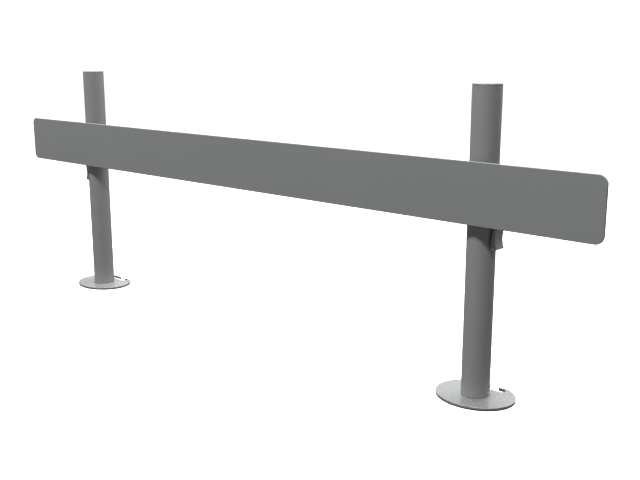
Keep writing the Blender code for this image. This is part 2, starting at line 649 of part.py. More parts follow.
def make_panel_fixings(side, parent, material):
    """Weld studs on the panel's back, each with a washer and a nut behind the flange."""
    shank_end = STUD_HEAD_THICKNESS + STUD_LENGTH
    stud_profile = [(0.0, 0.0), (STUD_HEAD_RADIUS, 0.0), (STUD_HEAD_RADIUS, STUD_HEAD_THICKNESS)]
    stud_profile += [(STUD_RADIUS, STUD_HEAD_THICKNESS), (STUD_RADIUS, shank_end - STUD_TIP_CHAMFER)]
    stud_profile += [(STUD_RADIUS - STUD_TIP_CHAMFER, shank_end), (0.0, shank_end)]
    nut_radius = NUT_ACROSS_FLATS / 2.0 / math.cos(math.pi / 6.0)
    for number, x in stud_places():
        stud = turned(f"panel_stud_{number}_{side}", stud_profile, SMALL_SEGMENTS, material)
        lay_along_y(stud, 0.0)
        place(stud, parent, (x, FLANGE_FRONT_Y, PANEL_MIDDLE_Z))

        hole = STUD_RADIUS + FIT
        name = f"stud_washer_{number}_{side}"
        washer = ring_solid(name, hole, WASHER_RADIUS, WASHER_THICKNESS, SMALL_SEGMENTS, material)
        lay_along_y(washer, 0.0)
        place(washer, parent, (x, FLANGE_BACK_Y + FIT, PANEL_MIDDLE_Z))

        corners = [math.pi / 3.0 * corner for corner in range(6)]
        outline = [(nut_radius * math.cos(turn), nut_radius * math.sin(turn)) for turn in corners]
        nut = prism(f"stud_nut_{number}_{side}", outline, NUT_THICKNESS, material)
        lay_along_y(nut, 0.0)
        add_bevel(nut, NUT_EDGE_BEVEL, 1)
        thread = cylinder(nut.name + "_thread_cutter", hole, NUT_THICKNESS + 2.0 * CUT_MARGIN)
        lay_along_y(thread, 0.0)
        combine(nut, thread, "DIFFERENCE")
        place(nut, parent, (x, FLANGE_BACK_Y + WASHER_THICKNESS + 2.0 * FIT, PANEL_MIDDLE_Z))
        place(thread, nut, (0.0, -CUT_MARGIN, 0.0))


def main():
    clear_scene()
    zinc = zinc_steel()
    black_acetal = acetal()
    tube_paint = post_paint()
    base_paint = plate_paint()
    rubber = pad_rubber()
    coat = casting_paint()
    nylon = lever_plastic()
    brake = urethane()

    make_panel(panel_paint())
    for side, sign in SIDES.items():
        axis = bpy.data.objects.new("post_axis_" + side, None)
        axis.location = Vector((sign * POST_SPACING / 2.0, POST_AXIS_Y, 0.0))
        bpy.context.scene.collection.objects.link(axis)
        make_base_pad(side, axis, rubber)
        make_base_plate(side, axis, base_paint)
        make_base_screws(side, axis, zinc)
        make_foot_plug(side, axis, zinc)
        make_post_tube(side, axis, tube_paint)
        make_post_cap(side, axis, tube_paint)
        make_carriage(side, sign, axis, coat)
        make_bushes(side, sign, axis, black_acetal)
        make_lever(side, sign, axis, nylon)
        make_lever_pin(side, sign, axis, zinc)
        make_brake_shoe(side, sign, axis, brake)
        make_lever_spring(side, sign, axis, zinc)
        make_panel_fixings(side, axis, zinc)


main()
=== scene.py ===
"""The look of a desk rail on two height-adjustable posts.

Metres, +Z up. The rail runs along X and its plain face looks to -Y. Places and sizes come
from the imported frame, so each detailed piece lies where its CAD node lies.
"""

import json
import math

import bmesh
import bpy
from mathutils import Matrix, Vector


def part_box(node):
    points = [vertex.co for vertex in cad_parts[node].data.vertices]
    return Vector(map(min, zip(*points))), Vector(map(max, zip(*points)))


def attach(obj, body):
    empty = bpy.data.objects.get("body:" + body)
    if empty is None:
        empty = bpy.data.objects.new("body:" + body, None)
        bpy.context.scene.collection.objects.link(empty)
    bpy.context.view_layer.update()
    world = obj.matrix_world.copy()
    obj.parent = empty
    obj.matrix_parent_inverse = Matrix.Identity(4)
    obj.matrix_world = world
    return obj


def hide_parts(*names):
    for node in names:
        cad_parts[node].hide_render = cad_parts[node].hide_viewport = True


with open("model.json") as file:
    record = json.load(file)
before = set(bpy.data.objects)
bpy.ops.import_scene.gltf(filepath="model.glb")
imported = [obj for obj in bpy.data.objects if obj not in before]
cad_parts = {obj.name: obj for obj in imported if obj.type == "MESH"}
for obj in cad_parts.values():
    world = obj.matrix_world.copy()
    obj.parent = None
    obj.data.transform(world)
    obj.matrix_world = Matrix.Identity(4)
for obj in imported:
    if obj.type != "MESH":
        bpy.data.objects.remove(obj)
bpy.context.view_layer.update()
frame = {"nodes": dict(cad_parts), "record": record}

SIDES = {"left": -1, "right": 1}

# ---------------------------------------------------------------- sizes that the boxes don't give
# Each X and Y is measured from the axis of its post, and each Z from the desk, at rest.
FINE_EDGE_RADIUS = 0.0002
SMALL_EDGE_RADIUS = 0.0003

PANEL_CORNER_RADIUS = 0.011
PANEL_EDGE_RADIUS = 0.0007

TUBE_WALL = 0.002
TUBE_EDGE_RADIUS = 0.0004
CAP_EDGE_RADIUS = 0.0009
CAP_SHOULDER = 0.0025
CAP_STEM_WALL = 0.0015

BASE_BACK_CORNER_RADIUS = 0.012
SLOT_NEAR_Y = 0.0262
SLOT_FAR_Y = 0.0378
SLOT_HALF_LENGTH = 0.0265
SLOT_ENTRY_START_X = 0.0
SLOT_ENTRY_END_X = 0.0125
SLOT_LIP_RADIUS = 0.0010
PLATE_EDGE_RADIUS = 0.0005
PAD_EDGE_RADIUS = 0.0003
PAD_INSET = 0.0003
PAD_OPENING_RADIUS = 0.019

SCREW_RADIUS = 0.0025
SCREW_HEAD_RADIUS = 0.0045
SCREW_HEAD_THICKNESS = 0.0013
SCREW_SOCKET_ACROSS = 0.0030
SCREW_SOCKET_DEPTH = 0.0008
SCREW_CLEARANCE = 0.0003
THREAD_PITCH = 0.0008
THREAD_DEPTH = 0.0003
THREAD_START_SHARE = 0.5  # of the full depth, at the head

FLANGE_THICKNESS = 0.0050
FLANGE_HALF_HEIGHT = 0.0265
FLANGE_CORNER_RADIUS = 0.008
CASTING_EDGE_RADIUS = 0.0012
BORE_RADIUS = 0.0212
CHEEK_INNER_Y = 0.0101
CHEEK_OUTER_Y = 0.0137
CHEEK_OUTER_X = 0.0318
CHEEK_BOTTOM_Z = 0.2590
CHEEK_TOE_Z = 0.2530
BRIDGE_INNER_X = 0.0296
BRIDGE_OUTER_X = 0.0342
BRIDGE_BOTTOM_Z = 0.2740
BRIDGE_TOP_Z = 0.2935
BRIDGE_CORNER_RADIUS = 0.0025
BRIDGE_STEP_BELOW = 0.001  # the step from the cheeks out to the bridge
BRIDGE_STEP_ABOVE = 0.002
BRIDGE_STEP_RADIUS = 0.001
WELL_TOP_Z = 0.2906
PIN_HOLE_RADIUS = 0.0023
PIN_ROUND_SHARE = 0.3  # of the pin's radius
SPRING_POCKET_RADIUS = 0.0036
SPRING_POCKET_DEPTH = 0.0030
STUD_OFFSET_X = 0.0385
STUD_HOLE_RADIUS = 0.0028
STUD_HEAD_RADIUS = 0.0042
STUD_HEAD_THICKNESS = 0.0008
STUD_RADIUS = 0.0025
STUD_UNDERCUT = 0.0004
NUT_CHAMFER_ANGLE = math.radians(30)
NUT_CHAMFER_GAIN = 1.6  # times the drop that the angle gives
NUT_CHAMFER_MARGIN = 0.0002
NUT_LEAD_IN = 0.0004
BUSH_LIP_THICKNESS = 0.0014
BUSH_THICKNESS = 0.0016

LEVER_TIP_Z = 0.2025
LEVER_LIP_Z = 0.2045
LEVER_NECK_Z = 0.2310
LEVER_NECK_LENGTH = 0.0150
LEVER_HOLLOW_X = 0.0255
LEVER_HOLLOW_Z = 0.2170
LEVER_FLARE_BELOW = 19.0  # times the rise squared, like the two below
LEVER_FLARE_ABOVE = 10.0
LEVER_INNER_FLARE = 7.0
LEVER_INNER_RADIUS = 0.0220
LEVER_WAIST_RADIUS = 0.0224
LEVER_WAIST_Z = 0.2110
LEVER_SIDE_DEPTH = 0.0045
LEVER_EDGE_RADIUS = 0.0009
LEVER_LIP_RADIUS = 0.0016
LEVER_BOSS_RADIUS = 0.0045
LEVER_ARM_OUTER_X = 0.0254
LEVER_ARM_STEP_Z = 0.2725
LEVER_ARM_RADIUS = 0.001
SPRING_RADIUS = 0.0030
SPRING_WIRE_RADIUS = 0.0004
SPRING_TURNS = 4
SPRING_FLAT_TURNS = 0.5  # at each end

# ---------------------------------------------------------------- colours (linear)
PANEL_GREY = (0.270, 0.279, 0.272)
# Lighter than the panel's grey of the same paint: painted sheen that stands in for the light the
# round posts catch.
POST_GREY_WITH_PAINTED_SHEEN = (0.310, 0.318, 0.311)
# Lighter than the panel's grey of the same paint: painted light that stands in for the bright
# overhead light on the plate's top.
PLATE_GREY_WITH_PAINTED_LIGHT = (0.330, 0.338, 0.334)
# Lifted above the nylon's own grey: painted light that brightens the whole lever, above all its
# front face, which lies in the panel's shadow.
LEVER_GREY_WITH_PAINTED_LIGHT = (0.330, 0.338, 0.332)
CASTING_GREY = (0.060, 0.062, 0.062)
BLACK_RUBBER = (0.020, 0.020, 0.021)
BLACK_ACETAL = (0.018, 0.018, 0.019)
BROWN_URETHANE = (0.055, 0.050, 0.046)
ZINC = (0.600, 0.600, 0.580)
RAIL_FLAKE = 0.06  # how metallic a silver-grey coat looks
PLATE_FLAKE = 0.3

# Roughness, grain in cycles per metre, and depth of the grain in metres.
PANEL_GRAIN = (0.52, 620.0, 0.00010)
POST_GRAIN = (0.46, 620.0, 0.00010)
PLATE_GRAIN = (0.26, 620.0, 0.00010)
CASTING_GRAIN = (0.58, 480.0, 0.00022)
NYLON_GRAIN = (0.50, 1500.0, 0.00006)
RUBBER_GRAIN = (0.88, 900.0, 0.00012)
ACETAL_GRAIN = (0.38, 2200.0, 0.00003)
URETHANE_GRAIN = (0.75, 1200.0, 0.00008)
NOISE_LOW = 0.3  # the part of the noise that is spread over a material's range
NOISE_HIGH = 0.7

# ---------------------------------------------------------------- finish of the meshes
ROUND_SEGMENTS = 128
SMALL_SEGMENTS = 48
EDGE_STEPS = 4
FINE_EDGE_STEPS = 3
PIN_EDGE_STEPS = 5
BASE_ARC_STEPS = 6
PANEL_CORNER_STEPS = 16
FLANGE_CORNER_STEPS = 10
BASE_STEPS = 180
BASE_STEPS_CUT = 4  # left out where the arc of a back corner runs
SLOT_END_STEPS = 24
THREAD_STEPS = 8  # rings in each pitch
LEVER_STEPS = 28
LEVER_LIP_STEPS = 3  # left out where the arc of the lip runs
LEVER_BOSS_DEGREES = range(-10, 91, 10)
SPRING_STEPS = 24  # in each turn
SPRING_WIRE_STEPS = 3
EDGE_GUARD = 0.0002  # flat margin that keeps the worn edge narrow
LEAST_MITER = 0.5  # limits how far a sharp corner moves when an outline is inset
WELD_DISTANCE = 0.000002
WORN_ANGLE = math.radians(10)
SOFT_ANGLE = math.radians(40)
SOFT_SEGMENTS = 2
CASTING_SOFT_WIDTH = 0.0004
LEVER_SOFT_WIDTH = 0.0006
NUT_SOFT_WIDTH = 0.00012
CUT_MARGIN = 0.004

# ---------------------------------------------------------------- camera and light
CAMERA_PLACE = (1.0010, -0.9394, 0.4520)
CAMERA_PITCH = math.radians(-12.439)
CAMERA_TURN = math.radians(42.172)
CAMERA_LENS_MM = 48.965
SENSOR_MM = 36.0
FLOOR_HALF_SIZE = 6.0


# ---------------------------------------------------------------- outlines
def filleted(corners, steps=EDGE_STEPS, guard=0.0):
    """Outline points of a polygon of (x, y, radius) corners, with an arc at each radius.

    A guard adds a point that far outside each end of an arc.
    """
    points = []
    for index, (x, y, radius) in enumerate(corners):
        corner = Vector((x, y))
        if radius == 0.0:
            points.append(corner)
            continue
        before = (Vector(corners[index - 1][:2]) - corner).normalized()
        after = (Vector(corners[(index + 1) % len(corners)][:2]) - corner).normalized()
        half_angle = before.angle(after) / 2.0
        reach = radius / math.tan(half_angle)
        centre = corner + (before + after).normalized() * radius / math.sin(half_angle)
        start = corner + before * reach - centre
        turn = start.angle_signed(corner + after * reach - centre)
        if guard:
            points.append(corner + before * (reach + guard))
        for step in range(steps + 1):
            points.append(centre + Matrix.Rotation(-turn * step / steps, 2) @ start)
        if guard:
            points.append(corner + after * (reach + guard))
    return points


def rectangle(half_x, half_y, radius):
    return [
        (half_x, half_y, radius),
        (-half_x, half_y, radius),
        (-half_x, -half_y, radius),
        (half_x, -half_y, radius),
    ]


def inset(outline, distance):
    """The outline moved inward by a distance, for one that runs anticlockwise."""
    moved = []
    for index, point in enumerate(outline):
        before = (point - outline[index - 1]).normalized()
        after = (outline[(index + 1) % len(outline)] - point).normalized()
        normal = Vector((-before.y - after.y, before.x + after.x)).normalized()
        miter = max(normal.dot(Vector((-before.y, before.x))), LEAST_MITER)
        moved.append(point + normal * distance / miter)
    return moved


def anticlockwise(outline):
    area = sum(a.cross(b) for a, b in zip(outline, outline[1:] + outline[:1]))
    return outline if area > 0.0 else outline[::-1]


# ---------------------------------------------------------------- meshes
def mark_worn_edges(shape):
    """Stores on each vertex whether it lies on a rounded edge, for the materials to read."""
    layer = shape.verts.layers.float.new("edge_wear")
    for vertex in shape.verts:
        bends = [edge.calc_face_angle(0.0) for edge in vertex.link_edges]
        vertex[layer] = 1.0 if max(bends, default=0.0) > WORN_ANGLE else 0.0


def coat(piece, material):
    """Gives a piece its material, and shading that keeps its large faces flat."""
    piece.data.materials.append(material)
    piece.modifiers.new("flat_faces", "WEIGHTED_NORMAL")


def link_mesh(name, shape, material=None):
    """A new object from a bmesh, with its faces turned outward and shaded smooth."""
    bmesh.ops.recalc_face_normals(shape, faces=shape.faces[:])
    if shape.calc_volume(signed=True) < 0.0:
        bmesh.ops.reverse_faces(shape, faces=shape.faces[:])
    mark_worn_edges(shape)
    mesh = bpy.data.meshes.new(name)
    shape.to_mesh(mesh)
    shape.free()
    mesh.shade_smooth()
    piece = bpy.data.objects.new(name, mesh)
    bpy.context.scene.collection.objects.link(piece)
    if material:
        coat(piece, material)
    return piece


def skin_rings(shape, rings, closed):
    """Quads between rings of vertices that have the same count, or one vertex at a pole."""
    following = rings[1:] + rings[:1] if closed else rings[1:]
    for first, second in zip(rings, following):
        count = max(len(first), len(second))
        for step in range(count):
            after = (step + 1) % count
            corners = [first[step % len(first)], second[step % len(second)]]
            corners += [second[after % len(second)], first[after % len(first)]]
            shape.faces.new(list(dict.fromkeys(corners)))


def slab(name, outline, thickness, edge, material=None):
    """A plate on the XY plane with rounded edges, from z = 0 up to its thickness."""
    outline = anticlockwise(outline)
    levels = [(edge + EDGE_GUARD, 0.0)]
    for step in range(EDGE_STEPS + 1):
        turn = math.pi / 2.0 * step / EDGE_STEPS
        levels.append((edge * (1.0 - math.sin(turn)), edge * (1.0 - math.cos(turn))))
    levels += [(depth, thickness - z) for depth, z in reversed(levels)]
    shape = bmesh.new()
    rings = []
    for depth, z in levels:
        rings.append([shape.verts.new((p.x, p.y, z)) for p in inset(outline, depth)])
    skin_rings(shape, rings, closed=False)
    shape.faces.new(rings[0])
    shape.faces.new(rings[-1])
    return link_mesh(name, shape, material)


def turned(name, profile, segments, material=None):
    """A closed solid of revolution round Z, from a profile of (radius, z) points."""
    shape = bmesh.new()
    rings = []
    for radius, z in profile:
        if radius == 0.0:
            rings.append([shape.verts.new((0.0, 0.0, z))])
            continue
        ring = []
        for step in range(segments):
            turn = 2.0 * math.pi * step / segments
            ring.append(shape.verts.new((radius * math.cos(turn), radius * math.sin(turn), z)))
        rings.append(ring)
    skin_rings(shape, rings, closed=len(rings[0]) > 1)
    return link_mesh(name, shape, material)


def prism(name, outline, low, high):
    """A plain closed prism along Z, with sharp edges."""
    shape = bmesh.new()
    rings = [[shape.verts.new((x, y, z)) for x, y in outline] for z in (low, high)]
    skin_rings(shape, rings, closed=False)
    shape.faces.new(rings[0])
    shape.faces.new(rings[1])
    return link_mesh(name, shape)


def combine(piece, other, operation="DIFFERENCE"):
    """Cuts the other object from the piece, or joins it on, and removes the other."""
    modifier = piece.modifiers.new("combine", "BOOLEAN")
    modifier.operation = operation
    modifier.solver = "MANIFOLD"
    modifier.object = other
    piece.modifiers.move(len(piece.modifiers) - 1, 0)
    shading = [each for each in piece.modifiers if each != modifier]
    for each in shading:
        each.show_viewport = False
    graph = bpy.context.evaluated_depsgraph_get()
    joined = bpy.data.meshes.new_from_object(piece.evaluated_get(graph))
    for each in shading:
        each.show_viewport = True
    piece.modifiers.remove(modifier)
    shape = bmesh.new()
    shape.from_mesh(joined)
    bmesh.ops.remove_doubles(shape, verts=shape.verts[:], dist=WELD_DISTANCE)
    shape.to_mesh(joined)
    shape.free()
    old = piece.data
    piece.data = joined
    joined.name = old.name
    bpy.data.meshes.remove(old)
    bpy.data.objects.remove(other, do_unlink=True)


def soften(piece, width):
    """Small bevels on the edges that cutting left sharp, ahead of the shading modifier."""
    bevel = piece.modifiers.new("soft_edges", "BEVEL")
    bevel.width = width
    bevel.segments = SOFT_SEGMENTS
    bevel.limit_method = "ANGLE"
    bevel.angle_limit = SOFT_ANGLE
    piece.modifiers.move(len(piece.modifiers) - 1, 0)


def stand_along_y(piece):
    """Turns a piece made along Z to run along +Y, with its own X kept and its Y turned to +Z."""
    turn = Matrix(((1, 0, 0, 0), (0, 0, 1, 0), (0, 1, 0, 0), (0, 0, 0, 1)))
    piece.data.transform(turn)
    piece.data.flip_normals()


def finish(piece, place, body, slot, *nodes):
    """Puts a piece in its place, makes it move with its body, and hides the CAD nodes that it
    replaces.
    """
    piece.location = place
    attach(piece, body)
    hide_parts(*nodes)


# ---------------------------------------------------------------- materials
def new_material(name, colour, roughness, metallic=0.0):
    material = bpy.data.materials.new(name)
    material.use_nodes = True
    shader = material.node_tree.nodes["Principled BSDF"]
    shader.inputs["Base Color"].default_value = (*colour, 1.0)
    shader.inputs["Roughness"].default_value = roughness
    shader.inputs["Metallic"].default_value = metallic
    return material, shader


def add_noise(material, scale, detail=2.0, stretch=(1.0, 1.0, 1.0)):
    """Noise in the object's own space: scale is in cycles per metre."""
    nodes = material.node_tree.nodes
    links = material.node_tree.links
    place = nodes.new("ShaderNodeTexCoord")
    mapping = nodes.new("ShaderNodeMapping")
    mapping.inputs["Scale"].default_value = stretch
    noise = nodes.new("ShaderNodeTexNoise")
    noise.inputs["Scale"].default_value = scale
    noise.inputs["Detail"].default_value = detail
    links.new(place.outputs["Object"], mapping.inputs["Vector"])
    links.new(mapping.outputs["Vector"], noise.inputs["Vector"])
    return noise.outputs["Fac"]


def add_range(material, source, low, high):
    """The source noise, spread over a range from low to high."""
    spread = material.node_tree.nodes.new("ShaderNodeMapRange")
    spread.inputs["From Min"].default_value = NOISE_LOW
    spread.inputs["From Max"].default_value = NOISE_HIGH
    spread.inputs["To Min"].default_value = low
    spread.inputs["To Max"].default_value = high
    material.node_tree.links.new(source, spread.inputs["Value"])
    return spread.outputs["Result"]


def add_product(material, first, second):
    product = material.node_tree.nodes.new("ShaderNodeMath")
    product.operation = "MULTIPLY"
    material.node_tree.links.new(first, product.inputs[0])
    material.node_tree.links.new(second, product.inputs[1])
    return product.outputs["Value"]


def tint(material, colour, brightness, wear, wear_gain):
    """The base colour scaled by a brightness, and lightened where the edge is worn."""
    nodes = material.node_tree.nodes
    links = material.node_tree.links
    scaled = nodes.new("ShaderNodeVectorMath")
    scaled.operation = "SCALE"
    scaled.inputs[0].default_value = colour
    links.new(brightness, scaled.inputs["Scale"])
    lighter = nodes.new("ShaderNodeMix")
    lighter.data_type = "RGBA"
    links.new(wear, lighter.inputs["Factor"])
    links.new(scaled.outputs["Vector"], lighter.inputs["A"])
    worn = [min(1.0, part * wear_gain) for part in colour]
    lighter.inputs["B"].default_value = (*worn, 1.0)
    links.new(lighter.outputs["Result"], nodes["Principled BSDF"].inputs["Base Color"])


def add_bump(material, height, strength, distance):
    nodes = material.node_tree.nodes
    links = material.node_tree.links
    bump = nodes.new("ShaderNodeBump")
    bump.inputs["Strength"].default_value = strength
    bump.inputs["Distance"].default_value = distance
    links.new(height, bump.inputs["Height"])
    links.new(bump.outputs["Normal"], nodes["Principled BSDF"].inputs["Normal"])


def edge_wear(material, amount, patch_scale=260.0):
    """Broken-up wear on the rounded edges, from the mesh's own mark."""
    mark = material.node_tree.nodes.new("ShaderNodeAttribute")
    mark.attribute_name = "edge_wear"
    patches = add_noise(material, patch_scale)
    broken = add_range(material, patches, low=0.25 * amount, high=amount)
    return add_product(material, mark.outputs["Fac"], broken)


def coated(name, colour, roughness, grain_scale, grain_depth, spread=0.04, worn=0.35, flake=0.0):
    """Powder coat: a fine orange peel, faint speckle, metal flake, and thinner paint on edges."""
    material, shader = new_material(name, colour, roughness, metallic=flake)
    grains = add_noise(material, scale=grain_scale * 2.4, detail=1.0)
    speckle = add_range(material, grains, low=1.0 - spread, high=1.0 + spread)
    clouds = add_noise(material, scale=7.0, detail=3.0)
    drift = add_range(material, clouds, low=0.985, high=1.015)
    brightness = add_product(material, speckle, drift)
    tint(material, colour, brightness, edge_wear(material, worn), wear_gain=1.35)
    patches = add_noise(material, scale=grain_scale * 0.35, detail=3.0)
    gloss = add_range(material, patches, low=0.92 * roughness, high=1.08 * roughness)
    material.node_tree.links.new(gloss, shader.inputs["Roughness"])
    peel = add_noise(material, scale=grain_scale, detail=2.0)
    add_bump(material, peel, strength=0.35, distance=grain_depth)
    return material


def moulded(name, colour, roughness, grain_scale, grain_depth):
    """Moulded plastic or rubber: an even fine stipple."""
    material, shader = new_material(name, colour, roughness)
    clouds = add_noise(material, scale=60.0, detail=3.0)
    brightness = add_range(material, clouds, low=0.95, high=1.05)
    tint(material, colour, brightness, edge_wear(material, amount=0.30), wear_gain=1.5)
    patches = add_noise(material, scale=130.0, detail=3.0)
    sheen = add_range(material, patches, low=roughness - 0.06, high=roughness + 0.06)
    material.node_tree.links.new(sheen, shader.inputs["Roughness"])
    stipple = add_noise(material, scale=grain_scale, detail=3.0)
    add_bump(material, stipple, strength=0.4, distance=grain_depth)
    return material


def zinc_plated():
    """Zinc-plated steel: cloudy plating with faint tool marks."""
    material, shader = new_material("zinc_plated_steel", ZINC, roughness=0.36, metallic=1.0)
    clouds = add_noise(material, scale=420.0, detail=4.0)
    brightness = add_range(material, clouds, low=0.86, high=1.06)
    wear = edge_wear(material, amount=0.5, patch_scale=900.0)
    tint(material, ZINC, brightness, wear, wear_gain=1.3)
    marks = add_noise(material, scale=2600.0, detail=2.0, stretch=(1.0, 0.12, 1.0))
    gloss = add_range(material, marks, low=0.28, high=0.46)
    material.node_tree.links.new(gloss, shader.inputs["Roughness"])
    add_bump(material, marks, strength=0.25, distance=0.00003)
    return material


def make_materials():
    """One material for each material slot of the frame."""
    paint = {"spread": 0.10, "worn": 0.25}
    return {
        "panel_paint": coated("panel_silver_grey_coat", PANEL_GREY, *PANEL_GRAIN, flake=RAIL_FLAKE),
        "post_paint": coated("post_silver_grey_coat", POST_GREY_WITH_PAINTED_SHEEN, *POST_GRAIN, flake=RAIL_FLAKE),
        "plate_paint": coated("plate_silver_grey_coat", PLATE_GREY_WITH_PAINTED_LIGHT, *PLATE_GRAIN, flake=PLATE_FLAKE),
        "casting_paint": coated("casting_dark_grey_coat", CASTING_GREY, *CASTING_GRAIN, **paint),
        "lever_nylon": moulded("lever_grey_nylon", LEVER_GREY_WITH_PAINTED_LIGHT, *NYLON_GRAIN),
        "pad_rubber": moulded("black_rubber", BLACK_RUBBER, *RUBBER_GRAIN),
        "acetal": moulded("black_acetal", BLACK_ACETAL, *ACETAL_GRAIN),
        "urethane": moulded("brake_urethane", BROWN_URETHANE, *URETHANE_GRAIN),
        "zinc_steel": zinc_plated(),
    }


# ---------------------------------------------------------------- places from the frame
def middle(node):
    low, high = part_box(node)
    return (low + high) / 2.0


def post_axis(side):
    """A point on the desk plane under the post's axis."""
    centre = middle("post_tube_" + side)
    return Vector((centre.x, centre.y, 0.0))


def finish_across(piece, node):
    """Finishes a zinc-plated piece that lies along Y and moves with the rail."""
    stand_along_y(piece)
    place = (middle(node).x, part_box(node)[0].y, middle(node).z)
    finish(piece, place, "rail", "zinc_steel", node)


# ---------------------------------------------------------------- rail and posts
def make_panel(paint):
    low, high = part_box("panel")
    length, thickness, height = high - low
    corners = rectangle(length / 2.0, height / 2.0, PANEL_CORNER_RADIUS)
    outline = filleted(corners, PANEL_CORNER_STEPS)
    panel = slab("rail_panel", outline, thickness, PANEL_EDGE_RADIUS, paint)
    stand_along_y(panel)
    place = (middle("panel").x, low.y, middle("panel").z)
    finish(panel, place, "rail", "panel_paint", "panel")


def make_post_tube(side, paint):
    node = "post_tube_" + side
    low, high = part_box(node)
    outer = (high.x - low.x) / 2.0
    inner = outer - TUBE_WALL
    edge = TUBE_EDGE_RADIUS
    length = high.z - low.z
    corners = [(inner, 0.0, edge), (outer, 0.0, edge), (outer, length, edge), (inner, length, edge)]
    outline = filleted(corners, FINE_EDGE_STEPS, EDGE_GUARD)
    tube = turned("post_" + side, outline, ROUND_SEGMENTS, paint)
    finish(tube, (middle(node).x, middle(node).y, low.z), side + "_stand", "post_paint", node)


def make_post_cap(side, paint):
    node = "post_cap_" + side
    low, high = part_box(node)
    outer = (high.x - low.x) / 2.0
    stem = outer - TUBE_WALL - SCREW_CLEARANCE
    cup = stem - CAP_STEM_WALL
    top = high.z - low.z
    shoulder = top - CAP_SHOULDER
    corners = [(0.0, shoulder, 0.0), (cup, shoulder, 0.0), (cup, 0.0, 0.0), (stem, 0.0, 0.0)]
    corners += [(stem, shoulder, 0.0), (outer, shoulder, FINE_EDGE_RADIUS)]
    corners += [(outer, top, CAP_EDGE_RADIUS), (0.0, top, 0.0)]
    outline = filleted(corners, EDGE_STEPS, EDGE_GUARD / 4.0)
    cap = turned("cap_" + side, outline, ROUND_SEGMENTS, paint)
    finish(cap, (middle(node).x, middle(node).y, low.z), side + "_stand", "post_paint", node)


# ---------------------------------------------------------------- bases
def base_outline(side):
    """An ellipse whose back is cut flat, with a cable slot that opens through the back."""
    low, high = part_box("base_plate_" + side)
    centre = post_axis(side)
    half_length = (high.x - low.x) / 2.0
    half_depth = centre.y - low.y
    back_y = high.y - centre.y
    flat_start = math.asin(back_y / half_depth)
    corner_x = half_length * math.cos(flat_start)
    corners = [(SLOT_ENTRY_START_X, back_y, SLOT_LIP_RADIUS)]
    corners += [(-corner_x, back_y, BASE_BACK_CORNER_RADIUS)]
    sweep = math.pi + 2.0 * flat_start
    for step in range(BASE_STEPS_CUT, BASE_STEPS - BASE_STEPS_CUT + 1):
        turn = math.pi - flat_start + sweep * step / BASE_STEPS
        corners.append((half_length * math.cos(turn), half_depth * math.sin(turn), 0.0))
    corners += [(corner_x, back_y, BASE_BACK_CORNER_RADIUS)]
    corners += [(SLOT_ENTRY_END_X, back_y, SLOT_LIP_RADIUS)]
    corners += [(SLOT_ENTRY_END_X, SLOT_FAR_Y, SLOT_LIP_RADIUS)]
    end_radius = (SLOT_FAR_Y - SLOT_NEAR_Y) / 2.0
    end_x = SLOT_HALF_LENGTH - end_radius
    slot_middle = (SLOT_FAR_Y + SLOT_NEAR_Y) / 2.0
    for way, first_turn in ((1, math.pi / 2.0), (-1, -math.pi / 2.0)):
        for step in range(SLOT_END_STEPS + 1):
            turn = first_turn - math.pi * step / SLOT_END_STEPS
            x = way * end_x + end_radius * math.cos(turn)
            corners.append((x, slot_middle + end_radius * math.sin(turn), 0.0))
    corners += [(SLOT_ENTRY_START_X, SLOT_FAR_Y, SLOT_LIP_RADIUS)]
    return filleted(corners, BASE_ARC_STEPS)


def screw_nodes(side):
    return [f"base_screw_{number}_{side}" for number in (1, 2, 3)]


def make_base_plate(side, paint):
    node = "base_plate_" + side
    low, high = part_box(node)
    thickness = high.z - low.z
    plate = slab("base_" + side, base_outline(side), thickness, PLATE_EDGE_RADIUS, paint)
    head = SCREW_HEAD_RADIUS + SCREW_CLEARANCE
    shank = SCREW_RADIUS + SCREW_CLEARANCE
    head_room = SCREW_HEAD_THICKNESS + SCREW_CLEARANCE
    past = thickness + CUT_MARGIN
    profile = [(0.0, -CUT_MARGIN), (head, -CUT_MARGIN), (head, head_room)]
    profile += [(shank, head_room), (shank, past), (0.0, past)]
    for screw in screw_nodes(side):
        cutter = turned("cutter", profile, SMALL_SEGMENTS)
        offset = middle(screw) - post_axis(side)
        cutter.data.transform(Matrix.Translation((offset.x, offset.y, 0.0)))
        combine(plate, cutter)
    place = post_axis(side)
    finish(plate, (place.x, place.y, low.z), side + "_stand", "plate_paint", node)


def make_base_pad(side, rubber):
    node = "base_pad_" + side
    low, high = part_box(node)
    outline = inset(anticlockwise(base_outline(side)), PAD_INSET)
    pad = slab("rubber_pad_" + side, outline, high.z - low.z, PAD_EDGE_RADIUS, rubber)
    reach = high.z - low.z + CUT_MARGIN
    opening = PAD_OPENING_RADIUS
    profile = [(0.0, -CUT_MARGIN), (opening, -CUT_MARGIN), (opening, reach), (0.0, reach)]
    combine(pad, turned("cutter", profile, ROUND_SEGMENTS))
    place = post_axis(side)
    finish(pad, (place.x, place.y, low.z), side + "_stand", "pad_rubber", node)


def hexagon(across):
    radius = across / 2.0 / math.cos(math.pi / 6.0)
    turns = [math.pi / 3.0 * corner for corner in range(6)]
    return [(radius * math.cos(turn), radius * math.sin(turn)) for turn in turns]


